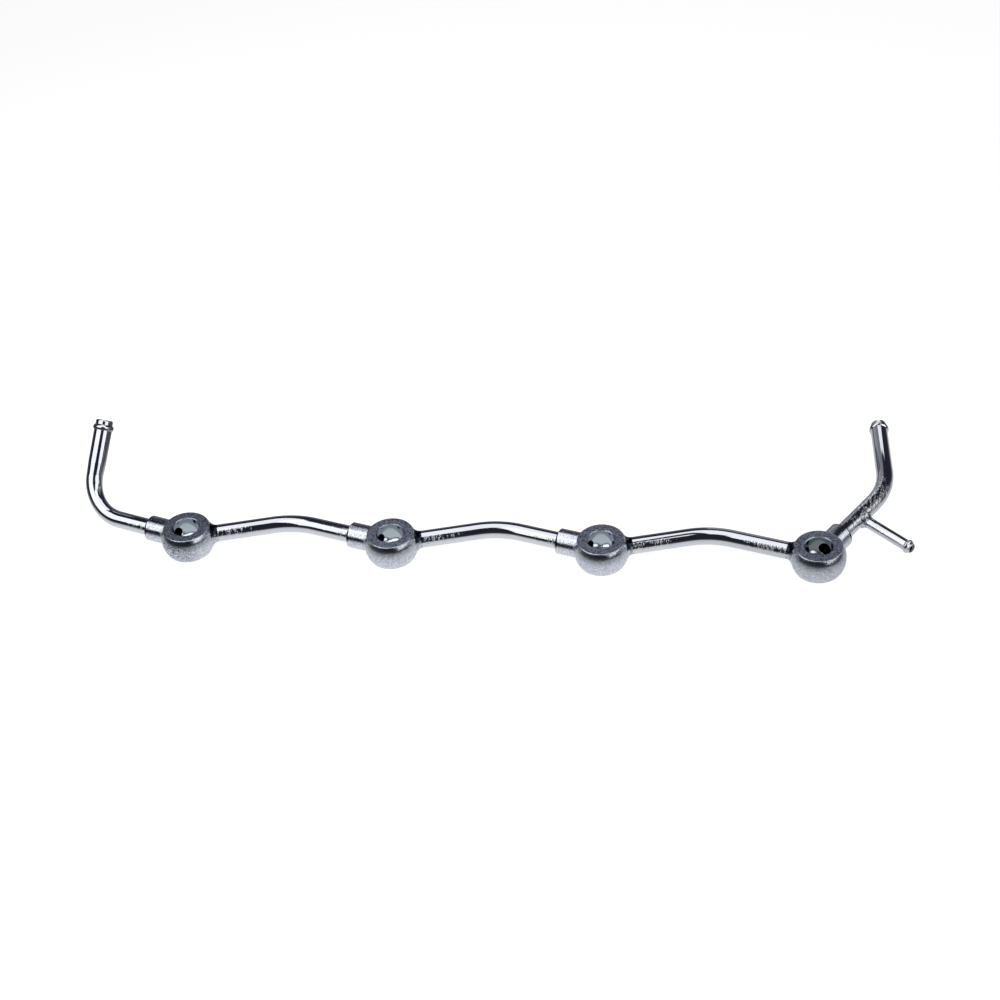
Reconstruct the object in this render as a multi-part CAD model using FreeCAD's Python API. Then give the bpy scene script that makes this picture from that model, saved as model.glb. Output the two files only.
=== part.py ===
import FreeCAD, Part
import math
import os

os.makedirs("parts", exist_ok=True)

# Fuel suction pipe of a four-cylinder engine, in millimetres and degrees.
# Four banjo eyes stand in a row, one at each fuel union. Link tubes join them, and a
# hose tube bends away to the back at each end: the left one rises steeply from its
# elbow, the right one stays level and carries a small branch spigot. All other tube
# axes lie in one level plane, half way up the eyes.
# The origin is the middle of eye 1: +X runs along the row to eye 4, +Y goes to the
# back, where the hoses come from, and +Z runs up along the banjo bolts.

# Row of eyes
EYE_COUNT = 4
EYE_PITCH = 98.0

# Banjo eye: a ball with two machined faces, a bolt bore and a socket neck
BALL_R = 12.5
EYE_HEIGHT = 13.0
BORE_R = 6.25
FACE_EDGE = 0.5
BORE_EDGE = 0.4
NECK_STEP = 0.5
NECK_REACH = 21.0
LAST_NECK_REACH = 19.0
NECK_EDGE = 0.5
NECK_SOCKET_DEPTH = 8.0
MOUTH_EDGE = 0.7
WALL_SOCKET_DEPTH = 2.5
FUEL_WAY_R = 3.4

# Tube stock, its bends and how it sits in its sockets
TUBE_R = 4.0
TUBE_WALL = 1.0
BEND_R = 38.0
ELBOW_R = 19.0
ELBOW_SECTIONS = 12
ELBOW_FLATTENING = 0.08
BRAZE_GAP = 0.05

# Route: angles are in plan from +X, a rise is above the level plane, and lengths run
# to or from the corner where two straight runs would meet
LINK_ANGLE = 15.5
LEFT_NECK_ANGLE = 163.0
LEFT_RUN = 56.7
LEFT_HOSE_ANGLE = 77.5
LEFT_HOSE_RISE_ANGLE = 48.0
LEFT_HOSE_LENGTH = 44.8
RIGHT_NECK_ANGLE = 58.0
RIGHT_RUN = 58.1
RIGHT_HOSE_ANGLE = 94.0
RIGHT_HOSE_LENGTH = 49.2
BRANCH_ANGLE = -42.6
BRANCH_FROM_EYE = 34.1
BRANCH_REACH = 31.6

# Hose ends: a rolled bead with a slightly narrower nose in front of it, and on the left
# a hose seat widened from the tube stock just past the elbow
LEFT_HOSE_R = 4.25
LEFT_SWAGE = 6.0
NOSE_STEP = 0.2
NOSE = 3.7
BEAD_HEIGHT = 0.65
BEAD_HALF_WIDTH = 1.3
BEAD_GROOVE = 0.5
NOSE_EDGE = 0.7

# Branch spigot
BRANCH_R = 2.6
BRANCH_WALL = 0.8
BRANCH_NOSE = 2.2
BRANCH_BEAD_HEIGHT = 0.6
BRANCH_BEAD_HALF_WIDTH = 1.0
BRANCH_BEAD_GROOVE = 0.4
BRANCH_NOSE_EDGE = 0.4

# Braze fillets: how far each one climbs along its tube, and its foot at the branch
WALL_BRAZE = 2.4
NECK_BRAZE = 0.4
SADDLE_BRAZE = 2.8
SADDLE_FOOT = 1.3

# Worked out from the values above
HALF_HEIGHT = EYE_HEIGHT / 2
NECK_R = HALF_HEIGHT - NECK_STEP
TUBE_BORE_R = TUBE_R - TUBE_WALL
SOCKET_R = TUBE_R + BRAZE_GAP
WALL_SEAT = math.sqrt(BALL_R ** 2 - SOCKET_R ** 2) - WALL_SOCKET_DEPTH
BEAD = (BEAD_HEIGHT, BEAD_HALF_WIDTH, BEAD_GROOVE)
BRANCH_BEAD = (BRANCH_BEAD_HEIGHT, BRANCH_BEAD_HALF_WIDTH, BRANCH_BEAD_GROOVE)

ORIGIN = FreeCAD.Vector(0, 0, 0)
ALONG = FreeCAD.Vector(1, 0, 0)
UP = FreeCAD.Vector(0, 0, 1)


def heading(angle, rise=0):
    """Unit vector at an angle in plan from +X and a rise above the level plane."""
    level = math.cos(math.radians(rise))
    across = FreeCAD.Vector(math.cos(math.radians(angle)), math.sin(math.radians(angle)), 0)
    return across * level + UP * math.sin(math.radians(rise))


def eye_centre(number):
    """Middle of an eye, counted from 1 at the left."""
    return ALONG * ((number - 1) * EYE_PITCH)


def neck_angle(number):
    """Angle in plan of an eye's neck: the tube from the left, or the hose tube at each end."""
    if number == 1:
        return LEFT_NECK_ANGLE
    if number == EYE_COUNT:
        return RIGHT_NECK_ANGLE
    return 180 - LINK_ANGLE


def neck_reach(number):
    """How far an eye's neck reaches from the middle of its bore."""
    return NECK_REACH if number < EYE_COUNT else LAST_NECK_REACH


def neck_seat(number):
    """Where the tube in an eye's neck stops, from the middle of the bore."""
    return neck_reach(number) - NECK_SOCKET_DEPTH


def wall_angle(number):
    """Angle in plan of the tube that enters an eye through its drilled wall."""
    return LINK_ANGLE if number < EYE_COUNT else 180 - LINK_ANGLE


def branch_root():
    """Point where the branch axis meets the right tube's axis."""
    return eye_centre(EYE_COUNT) + heading(RIGHT_NECK_ANGLE) * BRANCH_FROM_EYE


def aim(shape, origin, way):
    """Turn a shape drawn along +X to point a given way and move it to its origin."""
    aimed = shape.copy()
    aimed.Placement = FreeCAD.Placement(origin, FreeCAD.Rotation(ALONG, way))
    return aimed


def rod(radius, start, end):
    """Cylinder about +X between two stations."""
    return Part.makeCylinder(radius, end - start, ALONG * start, ALONG)


def line(*points):
    """Straight edges through (station, radius) points."""
    corners = [FreeCAD.Vector(station, radius, 0) for station, radius in points]
    return [Part.LineSegment(a, b).toShape() for a, b in zip(corners, corners[1:])]


def arc(*points):
    """Arc edge through three (station, radius) points."""
    corners = [FreeCAD.Vector(station, radius, 0) for station, radius in points]
    return [Part.Arc(*corners).toShape()]


def on_circle(centre, radius, angle):
    """(station, radius) point of a circle, its angle in radians from +X."""
    return (centre[0] + radius * math.cos(angle), centre[1] + radius * math.sin(angle))


def fillet_arc(foot, toe):
    """Hollow arc from a fillet's foot down to its toe, where it runs out along the tube."""
    reach = toe[0] - foot[0]
    rise = foot[1] - toe[1]
    sweep_r = (reach ** 2 + rise ** 2) / (2 * rise)
    centre = (toe[0], toe[1] + sweep_r)
    foot_turn = math.atan2(foot[1] - centre[1], foot[0] - centre[0]) % (2 * math.pi)
    toe_turn = 1.5 * math.pi
    return arc(foot, on_circle(centre, sweep_r, (foot_turn + toe_turn) / 2), toe)


def spin(edges):
    """Solid made by spinning a closed half section about +X."""
    return Part.Face(Part.Wire(edges)).revolve(ORIGIN, ALONG, 360)


# Banjo eyes

def ball():
    """Ball about +X with two machined faces, rounded rims and the bolt bore."""
    rim = (HALF_HEIGHT - FACE_EDGE, math.sqrt((BALL_R - FACE_EDGE) ** 2 - (HALF_HEIGHT - FACE_EDGE) ** 2))
    rim_turn = math.atan2(rim[1], rim[0])
    upper = [
        (HALF_HEIGHT - BORE_EDGE, BORE_R),
        (HALF_HEIGHT, BORE_R + BORE_EDGE),
        (HALF_HEIGHT, rim[1]),
        on_circle(rim, FACE_EDGE, rim_turn / 2),
        on_circle(rim, FACE_EDGE, rim_turn),
    ]
    lower = [(-station, radius) for station, radius in upper]
    edges = line(lower[2], lower[1], lower[0], upper[0], upper[1], upper[2])
    edges += arc(upper[2], upper[3], upper[4])
    edges += arc(upper[4], (0, BALL_R), lower[4])
    edges += arc(lower[4], lower[3], lower[2])
    return spin(edges)


def neck(reach):
    """Socket neck with an eased end, from just outside the bolt bore to its mouth."""
    root = BORE_R + BORE_EDGE
    return spin(line(
        (root, 0),
        (root, NECK_R),
        (reach - NECK_EDGE, NECK_R),
        (reach, NECK_R - NECK_EDGE),
        (reach, 0),
        (root, 0),
    ))


def neck_drilling(reach):
    """What is drilled out of a neck: fuel way, tube socket and the chamfer at its mouth."""
    seat = reach - NECK_SOCKET_DEPTH
    return spin(line(
        (0, 0),
        (0, FUEL_WAY_R),
        (seat, FUEL_WAY_R),
        (seat, SOCKET_R),
        (reach - MOUTH_EDGE, SOCKET_R),
        (reach + MOUTH_EDGE, SOCKET_R + 2 * MOUTH_EDGE),
        (reach + MOUTH_EDGE, 0),
        (0, 0),
    ))


def wall_drilling():
    """What is drilled out of the wall: fuel way and a short tube socket."""
    return spin(line(
        (0, 0),
        (0, FUEL_WAY_R),
        (WALL_SEAT, FUEL_WAY_R),
        (WALL_SEAT, SOCKET_R),
        (BALL_R, SOCKET_R),
        (BALL_R, 0),
        (0, 0),
    ))


def eye(number):
    """Banjo eye, forged in one piece with its neck, bored, faced and drilled."""
    neck_way = heading(neck_angle(number))
    body = aim(ball(), ORIGIN, UP)
    body = body.fuse(aim(neck(neck_reach(number)), ORIGIN, neck_way))
    body = body.cut(aim(neck_drilling(neck_reach(number)), ORIGIN, neck_way))
    body = body.cut(aim(wall_drilling(), ORIGIN, heading(wall_angle(number))))
    body.translate(eye_centre(number))
    return body.removeSplitter()


# Tubes

def tube_end(centre, way):
    """Flat ring square to a way: the cut end of the tube stock."""
    disc = Part.Face(Part.Wire(Part.makeCircle(TUBE_R, centre, way)))
    hole = Part.Face(Part.Wire(Part.makeCircle(TUBE_BORE_R, centre, way)))
    return disc.cut(hole).Faces[0]


def run(start, end):
    """Straight length of tube stock between two points."""
    return tube_end(start, end - start).extrude(end - start)


def tangent_length(first, second, bend_r):
    """How far before its corner a bend from one way to another begins."""
    return bend_r * math.tan(first.getAngle(second) / 2)


def bend(corner, first, second, bend_r):
    """Round bend of tube stock that turns it from its first way to its second."""
    start = corner - first * tangent_length(first, second, bend_r)
    axis = first.cross(second).normalize()
    centre = start + axis.cross(first) * bend_r
    return tube_end(start, first).revolve(centre, axis, math.degrees(first.getAngle(second)))


def elbow(corner, first, second, bend_r):
    """Tight bend of tube stock, pulled flatter towards its middle."""
    start = corner - first * tangent_length(first, second, bend_r)
    axis = first.cross(second).normalize()
    centre = start + axis.cross(first) * bend_r
    turn = math.degrees(first.getAngle(second))
    skins = []
    for radius in (TUBE_R, TUBE_BORE_R):
        outlines = []
        for step in range(ELBOW_SECTIONS + 1):
            share = step / ELBOW_SECTIONS
            sunk = TUBE_R * ELBOW_FLATTENING * math.sin(math.pi * share) ** 2
            turned = FreeCAD.Rotation(axis, turn * share)
            outward = turned.multVec(start - centre).normalize()
            outline = Part.Wire(Part.Ellipse(ORIGIN, radius, radius - sunk).toShape())
            outline.Placement = FreeCAD.Placement(
                centre + outward * bend_r,
                FreeCAD.Rotation(axis, outward, axis.cross(outward), "ZXY"))
            outlines.append(outline)
        skins.append(Part.makeLoft(outlines, True))
    return skins[0].cut(skins[1])


def swage(length, wide_r):
    """Cone where the tube stock is widened to a hose seat, along +X."""
    return spin(line(
        (0, TUBE_BORE_R),
        (0, TUBE_R),
        (length, wide_r),
        (length, wide_r - TUBE_WALL),
        (0, TUBE_BORE_R),
    ))


def hose_end(start, end, radius, wall, nose, bead, lip):
    """Hose end along +X: plain tube, rolled bead with its groove inside, nose with a round lip."""
    height, half_width, groove = bead
    inner_r = radius - wall
    nose_r = radius - NOSE_STEP
    top = (end - nose, radius + height)
    roll_r = (half_width ** 2 + height ** 2) / (2 * height)
    roll_drop = nose_r - (top[1] - roll_r)
    front = (top[0] + math.sqrt(roll_r ** 2 - roll_drop ** 2), nose_r)
    lip_centre = (end - lip, nose_r - lip)
    groove_front = (top[0] + half_width / 2, inner_r)
    groove_back = (top[0] - half_width / 2, inner_r)
    edges = line((start, inner_r), (start, radius), (top[0] - half_width, radius))
    edges += arc((top[0] - half_width, radius), top, front)
    edges += line(front, (end - lip, nose_r))
    edges += arc((end - lip, nose_r), on_circle(lip_centre, lip, math.pi / 4), (end, nose_r - lip))
    edges += line((end, nose_r - lip), (end, inner_r), groove_front)
    edges += arc(groove_front, (top[0], inner_r + groove), groove_back)
    edges += line(groove_back, (start, inner_r))
    return spin(edges)


def link_tube(number):
    """Link from the wall of one eye to the next eye, with one bend at its middle."""
    away, back = heading(LINK_ANGLE), heading(-LINK_ANGLE)
    first_eye, last_eye = eye_centre(number), eye_centre(number + 1)
    corner = first_eye + away * (EYE_PITCH / 2 / math.cos(math.radians(LINK_ANGLE)))
    tangent = tangent_length(away, back, BEND_R)
    last_seat = neck_seat(number + 1) if number + 1 < EYE_COUNT else WALL_SEAT
    tube = run(first_eye + away * WALL_SEAT, corner - away * tangent)
    tube = tube.fuse(bend(corner, away, back, BEND_R))
    tube = tube.fuse(run(corner + back * tangent, last_eye - back * last_seat))
    return tube.removeSplitter()


def left_hose_tube():
    """Left hose tube: out of eye 1, round its elbow and steeply up, widened for its hose."""
    neck_way = heading(LEFT_NECK_ANGLE)
    hose_way = heading(LEFT_HOSE_ANGLE, LEFT_HOSE_RISE_ANGLE)
    corner = eye_centre(1) + neck_way * LEFT_RUN
    tangent = tangent_length(neck_way, hose_way, ELBOW_R)
    tube = run(eye_centre(1) + neck_way * neck_seat(1), corner - neck_way * tangent)
    tube = tube.fuse(elbow(corner, neck_way, hose_way, ELBOW_R))
    end = swage(LEFT_SWAGE, LEFT_HOSE_R)
    end = end.fuse(hose_end(
        LEFT_SWAGE, LEFT_HOSE_LENGTH - tangent, LEFT_HOSE_R, TUBE_WALL, NOSE, BEAD, NOSE_EDGE))
    return tube.fuse(aim(end, corner + hose_way * tangent, hose_way)).removeSplitter()


def right_hose_tube():
    """Right hose tube: out of the last eye, bent to the back, drilled for the branch spigot."""
    neck_way, hose_way = heading(RIGHT_NECK_ANGLE), heading(RIGHT_HOSE_ANGLE)
    last_eye = eye_centre(EYE_COUNT)
    corner = last_eye + neck_way * RIGHT_RUN
    tangent = tangent_length(neck_way, hose_way, BEND_R)
    tube = run(last_eye + neck_way * neck_seat(EYE_COUNT), corner - neck_way * tangent)
    tube = tube.fuse(bend(corner, neck_way, hose_way, BEND_R))
    end = hose_end(0, RIGHT_HOSE_LENGTH - tangent, TUBE_R, TUBE_WALL, NOSE, BEAD, NOSE_EDGE)
    tube = tube.fuse(aim(end, corner + hose_way * tangent, hose_way))
    hole = aim(rod(BRANCH_R + BRAZE_GAP, 0, BRANCH_REACH), branch_root(), heading(BRANCH_ANGLE))
    return tube.cut(hole).removeSplitter()


def right_tube_round(radius):
    """Cylinder on the right tube's axis, to shape what sits on it at the branch."""
    back = branch_root() - heading(RIGHT_NECK_ANGLE) * BRANCH_REACH
    return Part.makeCylinder(radius, 2 * BRANCH_REACH, back, heading(RIGHT_NECK_ANGLE))


def branch_spigot():
    """Small hose spigot, its root cut round to lie flush with the inside of the right tube."""
    tube = hose_end(
        0, BRANCH_REACH, BRANCH_R, BRANCH_WALL, BRANCH_NOSE, BRANCH_BEAD, BRANCH_NOSE_EDGE)
    return aim(tube, branch_root(), heading(BRANCH_ANGLE)).cut(right_tube_round(TUBE_BORE_R))


# Braze fillets

def wall_braze():
    """Fillet round a tube where it enters a ball, along +X from the ball's middle."""
    foot = (math.sqrt(BALL_R ** 2 - NECK_R ** 2), NECK_R)
    heel = (math.sqrt(BALL_R ** 2 - TUBE_R ** 2), TUBE_R)
    toe = (heel[0] + WALL_BRAZE, TUBE_R)
    between = (math.atan2(foot[1], foot[0]) + math.atan2(heel[1], heel[0])) / 2
    edges = arc(heel, on_circle((0, 0), BALL_R, between), foot)
    edges += fillet_arc(foot, toe)
    edges += line(toe, heel)
    return spin(edges)


def neck_braze(reach):
    """Thin fillet that fills the chamfer at a neck's mouth, along +X from the ball's middle."""
    foot = (reach, SOCKET_R + MOUTH_EDGE)
    toe = (reach + NECK_BRAZE, TUBE_R)
    chamfer_start = reach - MOUTH_EDGE
    edges = line(toe, (chamfer_start, TUBE_R), (chamfer_start, SOCKET_R), foot)
    edges += fillet_arc(foot, toe)
    return spin(edges)


def branch_braze():
    """Fillet round the branch spigot, its foot lying on the round of the right tube."""
    foot = (TUBE_R, BRANCH_R + SADDLE_FOOT)
    toe = (TUBE_R + SADDLE_BRAZE, BRANCH_R)
    edges = line((0, BRANCH_R), (0, foot[1]), foot)
    edges += fillet_arc(foot, toe)
    edges += line(toe, (0, BRANCH_R))
    return aim(spin(edges), branch_root(), heading(BRANCH_ANGLE)).cut(right_tube_round(TUBE_R))


# Every piece, by name

pieces = {}
for number in range(1, EYE_COUNT + 1):
    pieces[f"eye_{number}"] = eye(number)
    pieces[f"neck_braze_{number}"] = aim(
        neck_braze(neck_reach(number)), eye_centre(number), heading(neck_angle(number)))
    pieces[f"wall_braze_{number}"] = aim(
        wall_braze(), eye_centre(number), heading(wall_angle(number)))
for number in range(1, EYE_COUNT):
    pieces[f"link_tube_{number}_{number + 1}"] = link_tube(number)
pieces["left_hose_tube"] = left_hose_tube()
pieces["right_hose_tube"] = right_hose_tube()
pieces["branch_spigot"] = branch_spigot()
pieces["branch_braze"] = branch_braze()

for name, shape in pieces.items():
    shape.exportStep(f"parts/{name}.step")
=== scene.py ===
"""The fuel suction pipe in bright zinc plate, on a white studio table."""
import math

import bpy
from mathutils import Matrix, Vector

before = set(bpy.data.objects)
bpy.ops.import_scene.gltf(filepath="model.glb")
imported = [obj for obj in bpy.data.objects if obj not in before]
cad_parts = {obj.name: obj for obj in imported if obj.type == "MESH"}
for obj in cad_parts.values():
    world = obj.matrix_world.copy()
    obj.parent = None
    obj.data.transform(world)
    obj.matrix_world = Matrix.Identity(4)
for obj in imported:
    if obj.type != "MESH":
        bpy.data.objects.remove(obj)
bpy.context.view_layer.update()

# The solids' own sizes, in millimetres from the middle of eye 1, as the materials use them
PITCH_MM = 98.0                         # from one eye to the next
FACE_MM = 6.5                           # height of an eye's face above its middle
BORE_MM = 6.25                          # radius of a bolt bore
BALL_MM = 12.5                          # radius of an eye
NECK_MM = 21.0                          # reach of the necks of eyes 1 to 3
LAST_NECK_MM = 19.0                     # reach of the neck of eye 4
FUEL_WAY_MM = 3.5                       # just over the radius of a cross hole
LAST_EYE_MM = 2.5 * PITCH_MM            # X past which the nearest eye is eye 4
BRANCH_ROOT_MM = (312.1, 28.9, 0.0)     # where the branch leaves its tube

# Settings that many nodes share
SMOOTH = {"interpolation_type": "SMOOTHSTEP"}
COLORS = {"data_type": "RGBA"}
GRAINY = {"Detail": 3.0, "Roughness": 0.6}

# Values of a noise between which a pattern goes from one end to the other
NOISE_SPAN = (0.3, 0.7)
MOTTLE_SPAN = (0.38, 0.62)

# Grain in the plate of tubes and eyes alike, drawn no finer than the render can show
GRAIN_MM = 0.5


# Materials

def srgb(code):
    """Linear colour with alpha from an sRGB hex code."""
    channels = [int(code[i:i + 2], 16) / 255 for i in (0, 2, 4)]
    linear = [c / 12.92 if c <= 0.04045 else ((c + 0.055) / 1.055) ** 2.4 for c in channels]
    return (*linear, 1.0)


def blank(name):
    """Empty node material and its node tree."""
    material = bpy.data.materials.new(name)
    material.use_nodes = True
    material.node_tree.nodes.clear()
    return material, material.node_tree


def add(tree, kind, *values, named=None, **settings):
    """Add a shader node with its settings. Values fill its open inputs in order, then by name;
    a node given as a value is linked from its first open output."""
    node = tree.nodes.new("ShaderNode" + kind)
    for key, value in settings.items():
        setattr(node, key, value)
    open_inputs = [socket for socket in node.inputs if socket.enabled]
    pairs = list(zip(open_inputs, values))
    pairs += [(node.inputs[name], value) for name, value in (named or {}).items()]
    for socket, value in pairs:
        if isinstance(value, bpy.types.Node):
            value = next(output for output in value.outputs if output.enabled)
        if isinstance(value, bpy.types.NodeSocket):
            tree.links.new(value, socket)
        else:
            socket.default_value = value
    return node


def in_millimetres(tree):
    """Object coordinates in millimetres."""
    point = add(tree, "TexCoord").outputs["Object"]
    return add(tree, "VectorMath", point, named={"Scale": 1000.0}, operation="SCALE")


def from_nearest_eye(tree, place):
    """Distance in plan from the middle of the nearest eye, in millimetres."""
    split = add(tree, "SeparateXYZ", place)
    along = add(tree, "Math", split.outputs["X"], PITCH_MM / 2, operation="PINGPONG")
    plan = add(tree, "CombineXYZ", along, split.outputs["Y"], 0.0)
    return add(tree, "VectorMath", plan, operation="LENGTH").outputs["Value"]


# Plate of the drawn tubes. Of two distances, it is burnt in full up to the first and not at all
# past the second
TUBE_CLOUD_MM = 7.0                     # faint clouding
RAGGED_MM = 1.1                         # facets and specks that the flame left
ROUND_LINK = (1.0, 0.4, 0.4)            # draws the facets out round a link
EYE_HEAT_MM = (20.0, 38.0)              # from an eye
BRANCH_HEAT_MM = (16.0, 34.0)           # from the branch's root
PAST_BRANCH_MM = (28.0, 31.0)           # Y where the branch's heat sets in
BEHIND_ROW_MM = (9.0, 14.0)             # Y that parts the links from the hose tubes
CLOUD_SPAN = (0.38, 0.52)               # values of the clouding
CLOUD_SHARE = (0.15, 1.0)               # share that is burnt at each of them
RAGGED_RISE_MM = 3.0                    # how far the facets shift the edge of the clean top
CLEAN_TOP_MM = (4.3, 5.2)               # height of that edge, with the shift added
SPECK_SPAN = (0.54, 0.62)
TUBE_ROUGH = (0.045, 0.08)
BURNT_ROUGH = 0.02                      # added where it is burnt
GRAIN_BUMP = (0.04, 0.0001)             # strength, and depth in metres
FACET_STRENGTH, FACET_DEPTH = 0.45, 0.0005
SPECK_DEPTH = 0.0001


def zinc_plated_tube():
    """Bright zinc plate on drawn steel tube. To the eye it is a mirror with faint clouding. Where
    the brazing flame reached it, small ragged facets and specks break it up: on the links below a
    clean top, and all round on the hose tubes behind the row."""
    material, tree = blank("zinc_plated_drawn_tube")
    place = in_millimetres(tree)
    split = add(tree, "SeparateXYZ", place)
    cloud = add(tree, "TexNoise", named={
        "Vector": place, "Scale": 1 / TUBE_CLOUD_MM, "Detail": 3.0})
    grain = add(tree, "TexNoise", named={"Vector": place, "Scale": 1 / GRAIN_MM, **GRAINY})
    drawn_out = add(tree, "VectorMath", place, ROUND_LINK, operation="MULTIPLY")
    ragged = add(tree, "TexNoise", named={"Vector": drawn_out, "Scale": 1 / RAGGED_MM, **GRAINY})

    reach = from_nearest_eye(tree, place)
    eye_heat = add(tree, "MapRange", reach, *EYE_HEAT_MM, 1.0, 0.0, **SMOOTH)
    root = add(tree, "VectorMath", place, BRANCH_ROOT_MM, operation="DISTANCE")
    near_root = add(tree, "MapRange", root.outputs["Value"], *BRANCH_HEAT_MM, 1.0, 0.0, **SMOOTH)
    past_branch = add(tree, "MapRange", split.outputs["Y"], *PAST_BRANCH_MM)
    branch_heat = add(tree, "Math", near_root, past_branch, operation="MULTIPLY")
    heat = add(tree, "Math", eye_heat, branch_heat, operation="MAXIMUM")

    behind_row = add(tree, "MapRange", split.outputs["Y"], *BEHIND_ROW_MM)
    clouded = add(tree, "MapRange", cloud, *CLOUD_SPAN, *CLOUD_SHARE, **SMOOTH)
    patch = add(tree, "Math", clouded, behind_row, operation="MAXIMUM")
    ragged_height = add(tree, "Math", ragged, RAGGED_RISE_MM, split.outputs["Z"],
                        operation="MULTIPLY_ADD")
    lower = add(tree, "MapRange", ragged_height, *CLEAN_TOP_MM, 1.0, 0.0, **SMOOTH)
    below_top = add(tree, "Math", lower, behind_row, operation="MAXIMUM")
    heated_patch = add(tree, "Math", heat, patch, operation="MULTIPLY")
    burnt = add(tree, "Math", heated_patch, below_top, operation="MULTIPLY")

    color = add(tree, "Mix", cloud, srgb("d0d3dc"), srgb("dfe1e7"), **COLORS)
    plain_rough = add(tree, "MapRange", cloud, *NOISE_SPAN, *TUBE_ROUGH)
    rough = add(tree, "Math", burnt, BURNT_ROUGH, plain_rough, operation="MULTIPLY_ADD")
    grained = add(tree, "Bump", *GRAIN_BUMP, named={"Height": grain})
    facet_share = add(tree, "Math", burnt, FACET_STRENGTH, operation="MULTIPLY")
    facets = add(tree, "Bump", facet_share, FACET_DEPTH, named={
        "Height": ragged, "Normal": grained})
    speck = add(tree, "MapRange", ragged, *SPECK_SPAN, **SMOOTH)
    specks = add(tree, "Bump", burnt, SPECK_DEPTH, named={"Height": speck, "Normal": facets})
    metal = add(tree, "BsdfPrincipled", named={
        "Base Color": color, "Metallic": 1.0, "Roughness": rough, "Normal": specks})
    add(tree, "OutputMaterial", metal)
    return material


# Plate of the forged eyes. A zone's two numbers are where it sets in and where it is full
EYE_CLOUD_MM = 3.0                      # clouding on the necks
SPECKLE_MM = 0.9                        # mottling of skin and faces
FACE_ZONE = (FACE_MM - 0.06, FACE_MM - 0.01)
EDGE_ZONE = (FACE_MM - 0.6, FACE_MM - 0.4)
BAND_ZONE = (FACE_MM - 3.3, FACE_MM - 2.1)
BORE_ZONE = (BORE_MM + 0.5, BORE_MM + 0.2)
NECK_ZONE = (BALL_MM + 0.1, BALL_MM + 0.8)
MOUTH_MM = 0.5                          # painted dark reflection at a neck's mouth, on its upper half only
UPPER_ZONE = (0.0, 2.0)
FUEL_WAY_FROM, FUEL_WAY_TO = BORE_MM + 0.15, BALL_MM - 0.7
PITTED_SPOT_MM = (-4.0, -10.0, -3.0)    # low at the front of eye 1
PITTED_REACH_MM = (7.5, 13.0)
PIT_SPAN = (0.52, 0.57)
SKIN_ROUGH = (0.32, 0.44)
FACE_ROUGH = (0.36, 0.46)
NECK_ROUGH = (0.08, 0.13)
BAND_ROUGH = 0.16
BORE_ROUGH, BORE_EDGE_ROUGH = 0.08, 0.25
SKIN_RELIEF, TURNED_RELIEF, BORE_RELIEF, EDGE_RELIEF, FACE_RELIEF = 0.6, 0.28, 0.08, 0.9, 0.22
EYE_GRAIN_DEPTH = 0.0002                # metres


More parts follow.
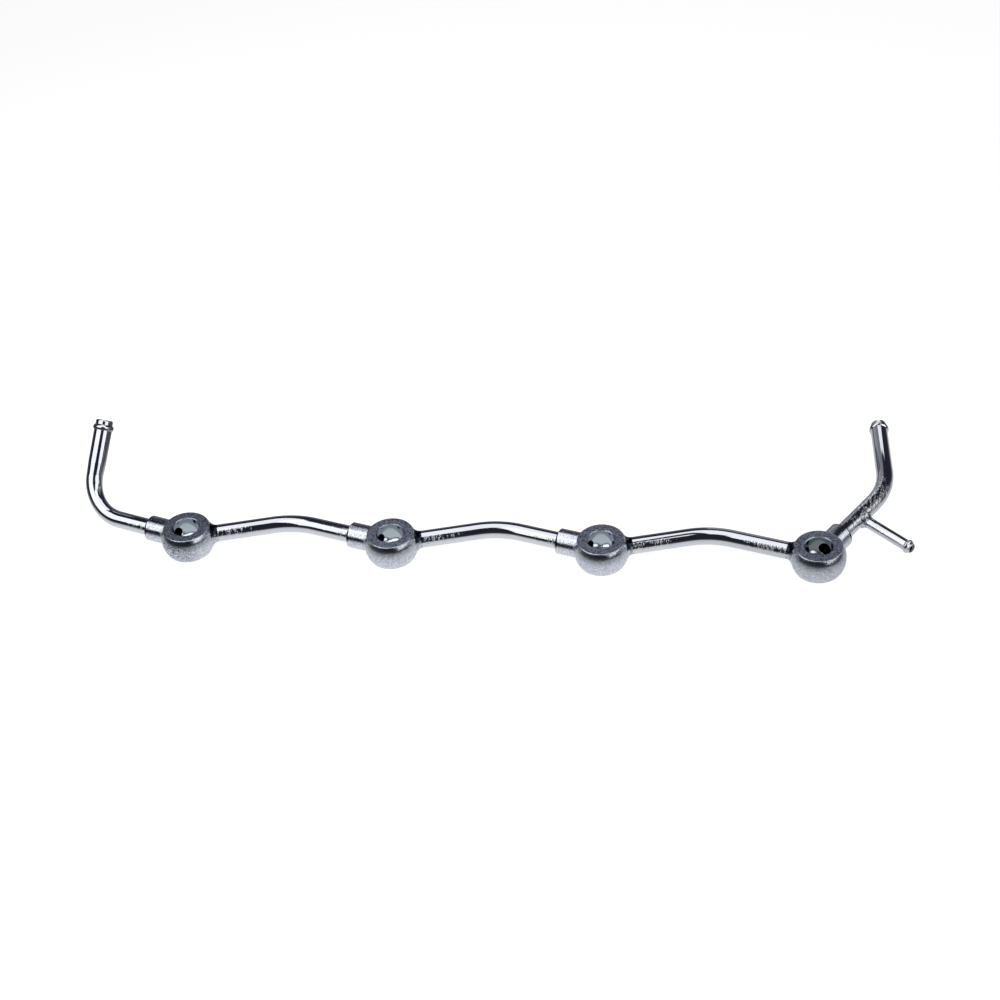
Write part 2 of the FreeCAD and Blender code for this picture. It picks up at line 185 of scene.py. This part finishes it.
def zinc_plated_eye():
    """Bright zinc plate on a forged and turned banjo eye. To the eye it is a matt grained skin on
    the ball, pitted low down on eye 1, a brighter turned band below a nicked edge, mottled matt
    faces painted darker as shade, smooth plate in the bore painted greyer as shade, painted
    shade in the fuel ways, and a bright turned neck with a painted dark reflection on top of
    its mouth."""
    material, tree = blank("zinc_plated_forged_eye")
    place = in_millimetres(tree)
    reach = from_nearest_eye(tree, place)
    split = add(tree, "SeparateXYZ", place)
    level = add(tree, "Math", split.outputs["Z"], operation="ABSOLUTE")
    cloud = add(tree, "TexNoise", named={
        "Vector": place, "Scale": 1 / EYE_CLOUD_MM, "Detail": 4.0, "Roughness": 0.6})
    grain = add(tree, "TexNoise", named={"Vector": place, "Scale": 1 / GRAIN_MM, **GRAINY})
    speckle = add(tree, "TexNoise", named={"Vector": place, "Scale": 1 / SPECKLE_MM, **GRAINY})
    mottle = add(tree, "MapRange", speckle, *MOTTLE_SPAN)

    face = add(tree, "MapRange", level, *FACE_ZONE)
    edge = add(tree, "MapRange", level, *EDGE_ZONE)
    band = add(tree, "MapRange", level, *BAND_ZONE, **SMOOTH)
    bore = add(tree, "MapRange", reach, *BORE_ZONE)
    neck = add(tree, "MapRange", reach, *NECK_ZONE)
    last_eye = add(tree, "Math", split.outputs["X"], LAST_EYE_MM, operation="GREATER_THAN")
    mouth_reach = add(tree, "Mix", last_eye, NECK_MM - MOUTH_MM, LAST_NECK_MM - MOUTH_MM)
    past_neck = add(tree, "Math", reach, mouth_reach, operation="GREATER_THAN")
    upper = add(tree, "MapRange", split.outputs["Z"], *UPPER_ZONE)
    painted_dark_mouth = add(tree, "Math", past_neck, upper, operation="MULTIPLY")
    # Painted shade in the fuel ways: their walls inside the ball are coloured near black
    off_bore = add(tree, "Math", reach, FUEL_WAY_FROM, operation="GREATER_THAN")
    inside_ball = add(tree, "Math", reach, FUEL_WAY_TO, operation="LESS_THAN")
    within_wall = add(tree, "Math", off_bore, inside_ball, operation="MULTIPLY")
    at_hole = add(tree, "Math", level, FUEL_WAY_MM, operation="LESS_THAN")
    fuel_way_shade = add(tree, "Math", within_wall, at_hole, operation="MULTIPLY")
    off_spot = add(tree, "VectorMath", place, PITTED_SPOT_MM, operation="DISTANCE")
    pitted = add(tree, "MapRange", off_spot.outputs["Value"], *PITTED_REACH_MM, 1.0, 0.0, **SMOOTH)
    pit = add(tree, "MapRange", grain, *PIT_SPAN)
    pits = add(tree, "Math", pitted, pit, operation="MULTIPLY")

    skin = add(tree, "Mix", mottle, srgb("bac0ce"), srgb("e1e5ee"), **COLORS)
    skin_pitted = add(tree, "Mix", pits, skin, srgb("353843"), **COLORS)
    # Painted shade: the faces are coloured darker than the skin, for the dark studio above them
    face_painted_shade = add(tree, "Mix", mottle, srgb("6c7288"), srgb("c2c8dc"), **COLORS)
    faced = add(tree, "Mix", face, skin_pitted, face_painted_shade, **COLORS)
    # Painted shade: the bore's wall is coloured greyer
    bore_painted_shade = add(tree, "Mix", bore, faced, srgb("a8b2bb"), **COLORS)
    fuel_way_shaded = add(tree, "Mix", fuel_way_shade, bore_painted_shade, srgb("2c2e36"), **COLORS)
    # Painted dark reflection on top of each neck's mouth
    color = add(tree, "Mix", painted_dark_mouth, fuel_way_shaded, srgb("20222a"), **COLORS)

    skin_rough = add(tree, "MapRange", grain, *NOISE_SPAN, *SKIN_ROUGH)
    face_rough = add(tree, "MapRange", grain, *NOISE_SPAN, *FACE_ROUGH)
    neck_rough = add(tree, "MapRange", cloud, *NOISE_SPAN, *NECK_ROUGH)
    banded_rough = add(tree, "Mix", band, skin_rough, BAND_ROUGH)
    faced_rough = add(tree, "Mix", face, banded_rough, face_rough)
    bore_rough = add(tree, "Mix", edge, BORE_ROUGH, BORE_EDGE_ROUGH)
    bored_rough = add(tree, "Mix", bore, faced_rough, bore_rough)
    rough = add(tree, "Mix", neck, bored_rough, neck_rough)

    machined = add(tree, "Math", bore, neck, operation="MAXIMUM")
    turned = add(tree, "Math", band, machined, operation="MAXIMUM")
    turned_relief = add(tree, "Mix", bore, TURNED_RELIEF, BORE_RELIEF)
    side_relief = add(tree, "Mix", turned, SKIN_RELIEF, turned_relief)
    nicked_relief = add(tree, "Mix", edge, side_relief, EDGE_RELIEF)
    relief = add(tree, "Mix", face, nicked_relief, FACE_RELIEF)
    grained = add(tree, "Bump", relief, EYE_GRAIN_DEPTH, named={"Height": grain})
    metal = add(tree, "BsdfPrincipled", named={
        "Base Color": color, "Metallic": 1.0, "Roughness": rough, "Normal": grained})
    add(tree, "OutputMaterial", metal)
    return material


# Plate of the braze
LUMP_MM = 1.1
DARK_TOP_EDGE_MM = 1.2                      # height over which the painted dark top sets in
BRAZE_ROUGH = 0.14
LUMP_DEPTH = 0.0006                     # metres


def zinc_plated_braze(name, hollow, crest, relief, dark_top_from):
    """Zinc plate over braze metal. To the eye it is shiny and lumpy, darker in its hollows, and
    painted black above a given height, as a dark reflection."""
    material, tree = blank(name)
    place = in_millimetres(tree)
    lump = add(tree, "TexNoise", named={"Vector": place, "Scale": 1 / LUMP_MM, **GRAINY})
    height = add(tree, "MapRange", lump, *MOTTLE_SPAN)
    plated = add(tree, "Mix", height, srgb(hollow), srgb(crest), **COLORS)
    level = add(tree, "SeparateXYZ", place).outputs["Z"]
    painted_dark_top = add(tree, "MapRange", level, dark_top_from, dark_top_from + DARK_TOP_EDGE_MM, **SMOOTH)
    # Painted dark reflection: black on the braze's upper part, above the given height
    color = add(tree, "Mix", painted_dark_top, plated, srgb("2a2d37"), **COLORS)
    lumpy = add(tree, "Bump", relief, LUMP_DEPTH, named={"Height": lump})
    metal = add(tree, "BsdfPrincipled", named={
        "Base Color": color, "Metallic": 1.0, "Roughness": BRAZE_ROUGH, "Normal": lumpy})
    add(tree, "OutputMaterial", metal)
    return material


# White table
WHITE = (1, 1, 1, 1)
SEEN_GLOW = 0.85                        # what the camera sees on top of the lit matt white
FADE_LENGTH = (0.003, 0.065)            # metres from the metal to the table
FADE_LIGHT = (0.88, 0.08)
RIGHT_END_MM = (200.0, 300.0)           # X over which the table's white in the metal dims to the right, as painted shade
RIGHT_LIGHT = (1.0, 0.8)
# Painted light in each bore, brighter at the left end than at the right
BORE_LIGHT = (1.1, 0.5)
GLINT_PLACE_MM = (1.3, 2.4, 0.0)        # painted glints, from the middle of a bore, on either side
GLINT_MM = (0.7, 1.1)                   # full, and gone
GLINT_LIGHT = 3.0
RING_MM = (1.1, 2.4)                    # ring of painted shade round a glint
RING_LIGHT = 0.1
BORE_EDGE_MM = 1.0                      # over which the light in a bore gives way to the table's


def white_table():
    """Matt white table. To the camera it is white with the object's soft shadow. In the metal it
    is a white with painted shade: it fades with its distance from the metal, for the table
    running off into the dark studio, and dims to the right. In each bore it shows two small
    painted glints behind the middle, one on either side, each in a ring of painted shade."""
    material, tree = blank("white_table")
    matt = add(tree, "BsdfDiffuse", srgb("b4b4b4"))
    seen = add(tree, "AddShader", matt, add(tree, "Emission", WHITE, SEEN_GLOW))
    path = add(tree, "LightPath")
    place = in_millimetres(tree)
    split = add(tree, "SeparateXYZ", place)
    # Painted shade in the metal: the table's white fades with distance and dims to the right
    fade = add(tree, "MapRange", path.outputs["Ray Length"], *FADE_LENGTH, *FADE_LIGHT, **SMOOTH)
    side = add(tree, "MapRange", split.outputs["X"], *RIGHT_END_MM, *RIGHT_LIGHT, **SMOOTH)
    painted_falloff = add(tree, "Math", fade, side, operation="MULTIPLY")

    # Painted light in each bore: two glints in rings of painted shade, on a dimmer ground
    aside = add(tree, "Math", split.outputs["X"], PITCH_MM / 2, operation="PINGPONG")
    folded = add(tree, "CombineXYZ", aside, split.outputs["Y"], 0.0)
    off_glint = add(tree, "VectorMath", folded, GLINT_PLACE_MM, operation="DISTANCE")
    off_middle = off_glint.outputs["Value"]
    bore_light = add(tree, "MapRange", split.outputs["X"], *RIGHT_END_MM, *BORE_LIGHT)
    painted_ring_shade = add(tree, "MapRange", off_middle, *RING_MM, RING_LIGHT, bore_light, **SMOOTH)
    painted_glint = add(tree, "MapRange", off_middle, *GLINT_MM, GLINT_LIGHT, 0.0, **SMOOTH)
    down_bore = add(tree, "Math", painted_ring_shade, painted_glint, operation="ADD")
    reach = from_nearest_eye(tree, place)
    in_open = add(tree, "MapRange", reach, BORE_MM, BORE_MM + BORE_EDGE_MM)
    place_light = add(tree, "Mix", in_open, down_bore, 1.0)

    strength = add(tree, "Math", painted_falloff, place_light, operation="MULTIPLY")
    reflected = add(tree, "Emission", WHITE, strength)
    mirrored = add(tree, "Math", path.outputs["Is Glossy Ray"],
                   path.outputs["Is Transmission Ray"], operation="MAXIMUM")
    lit = add(tree, "MixShader", path.outputs["Is Camera Ray"], matt, seen)
    add(tree, "OutputMaterial", add(tree, "MixShader", mirrored, lit, reflected))
    return material


tube_metal = zinc_plated_tube()
finishes = {
    "eye": zinc_plated_eye(),
    # The neck's braze is painted darker, and black above its middle, as a dark reflection at the
    # neck's mouth
    "neck_braze": zinc_plated_braze(
        "zinc_plated_neck_braze", hollow="5c606c", crest="989ca8", relief=0.3, dark_top_from=0.0),
    "wall_braze": zinc_plated_braze(
        "zinc_plated_wall_braze", hollow="989ca8", crest="d8dbe4", relief=0.2, dark_top_from=1.2),
    # Higher than the branch's fillet, which has no painted dark top
    "branch_braze": zinc_plated_braze(
        "zinc_plated_branch_braze", hollow="5c606c", crest="e8eaf0", relief=0.6, dark_top_from=8.0),
}
for name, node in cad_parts.items():
    fitting = [metal for start, metal in finishes.items() if name.startswith(start)]
    for slot in node.material_slots:
        slot.material = fitting[0] if fitting else tube_metal


# Table, in metres. The object stands on it

FLOOR_Z = -0.0065
TABLE_REACH = 12.0
TABLE_MIDDLE_X = 0.13


def table():
    """Flat square, far wider than the view."""
    corners = [(x * TABLE_REACH + TABLE_MIDDLE_X, y * TABLE_REACH, FLOOR_Z)
               for x, y in ((-1, -1), (1, -1), (1, 1), (-1, 1))]
    mesh = bpy.data.meshes.new("table")
    mesh.from_pydata(corners, [], [(0, 1, 2, 3)])
    mesh.materials.append(white_table())
    top = bpy.data.objects.new("table", mesh)
    bpy.context.scene.collection.objects.link(top)


table()


# Light

def towards(azimuth, elevation):
    """Unit vector at an azimuth from +X and an elevation above the table, in degrees."""
    turn, tilt = math.radians(azimuth), math.radians(elevation)
    level = math.cos(tilt)
    return Vector((level * math.cos(turn), level * math.sin(turn), math.sin(tilt)))


def softbox(name, place, target, size, radiance, turn):
    """Rectangular lamp at a place, facing its target and turned about its own middle."""
    light = bpy.data.lights.new(name, "AREA")
    light.shape = "RECTANGLE"
    light.size, light.size_y = size
    light.energy = radiance * math.pi * size[0] * size[1]
    lamp = bpy.data.objects.new(name, light)
    facing = (target - place).to_track_quat("-Z", "Y").to_matrix().to_4x4()
    spin = Matrix.Rotation(math.radians(turn), 4, "Z")
    lamp.matrix_world = Matrix.Translation(place) @ facing @ spin
    lamp.visible_camera = False
    bpy.context.scene.collection.objects.link(lamp)


ROW_MIDDLE = Vector((0.147, 0.020, 0.0))


def round_row(azimuth, elevation, distance):
    """Place at a distance from the row's middle."""
    return ROW_MIDDLE + towards(azimuth, elevation) * distance


# Name, place, target, width and height, radiance, turn. Metres and degrees
SOFTBOXES = (
    ("left_front", round_row(-151, 43.7, 0.613), ROW_MIDDLE, (0.54, 0.54), 1.35, 10.0),
    ("overhead", (0.07, 0.10, 0.547), (0.07, 0.09, 0.0), (0.44, 0.58), 1.2, -12.0),
    ("right_front", round_row(-28, 24, 2.05), ROW_MIDDLE, (1.8, 1.33), 1.3, 0.0),
    ("right_front_high", round_row(-25, 56, 1.71), ROW_MIDDLE, (0.83, 0.90), 1.15, 0.0),
    ("right_dim", round_row(16, 20, 1.4), ROW_MIDDLE, (0.8, 0.9), 0.16, 0.0),
    ("white_card", (0.3165, 0.172, 0.042), (0.3165, 0.0, 0.042), (0.051, 0.082), 1.1, 0.0),
    ("side_card", (0.4045, 0.035, 0.068), (0.305, 0.014, 0.004), (0.045, 0.085), 1.0, 0.0),
    ("grey_card", (0.262, 0.172, 0.060), (0.262, 0.0, 0.060), (0.056, 0.12), 0.2, 0.0),
)
for name, place, target, size, radiance, turn in SOFTBOXES:
    softbox(name, Vector(place), Vector(target), size, radiance, turn)


# World: linear colours, and where the glow lies

DARK_STUDIO = (0.020, 0.021, 0.030, 1)
PALE_GLOW = (0.17, 0.18, 0.215, 1)
GLOW_AZIMUTH = 110
GLOW_NARROW = (0.55, 0.95)              # cosine of the angle from the middle of the glow
GLOW_HEIGHT = (0.0, 0.6)                # sine of the elevation


def studio_world():
    """Dark studio with a pale bluish glow low down behind the row."""
    world = bpy.data.worlds.new("studio")
    world.use_nodes = True
    tree = world.node_tree
    tree.nodes.clear()
    way = add(tree, "TexCoord").outputs["Generated"]
    height = add(tree, "SeparateXYZ", way).outputs["Z"]
    behind = add(tree, "VectorMath", way, towards(GLOW_AZIMUTH, 0), operation="DOT_PRODUCT")
    side = add(tree, "MapRange", behind.outputs["Value"], *GLOW_NARROW, **SMOOTH)
    low = add(tree, "MapRange", height, *GLOW_HEIGHT, 1.0, 0.0, **SMOOTH)
    glow = add(tree, "Math", side, low, operation="MULTIPLY")
    color = add(tree, "Mix", glow, DARK_STUDIO, PALE_GLOW, **COLORS)
    add(tree, "OutputWorld", add(tree, "Background", color, 1.0))
    bpy.context.scene.world = world


studio_world()


# Camera at the photograph's angle: degrees, metres, and millimetres for the lens

YAW = math.radians(-11.32)
ELEVATION = math.radians(39.22)
ROLL = math.radians(-5.64)
DISTANCE = 0.948
TARGET = Vector((0.1444, 0.0338, 0.0))
LENS_MM = 72.0
SENSOR_MM = 36.0

forward = Vector((
    math.sin(YAW) * math.cos(ELEVATION), math.cos(YAW) * math.cos(ELEVATION), -math.sin(ELEVATION)))
level_right = Vector((math.cos(YAW), -math.sin(YAW), 0))
level_up = level_right.cross(forward)
right = math.cos(ROLL) * level_right + math.sin(ROLL) * level_up
up = math.cos(ROLL) * level_up - math.sin(ROLL) * level_right
lens = bpy.data.cameras.new("camera")
lens.sensor_width = SENSOR_MM
lens.lens = LENS_MM
camera = bpy.data.objects.new("camera", lens)
facing = Matrix((right, up, -forward)).transposed().to_4x4()
camera.matrix_world = Matrix.Translation(TARGET - forward * DISTANCE) @ facing
bpy.context.scene.collection.objects.link(camera)
bpy.context.scene.camera = camera

bpy.context.scene.view_settings.view_transform = "Standard"
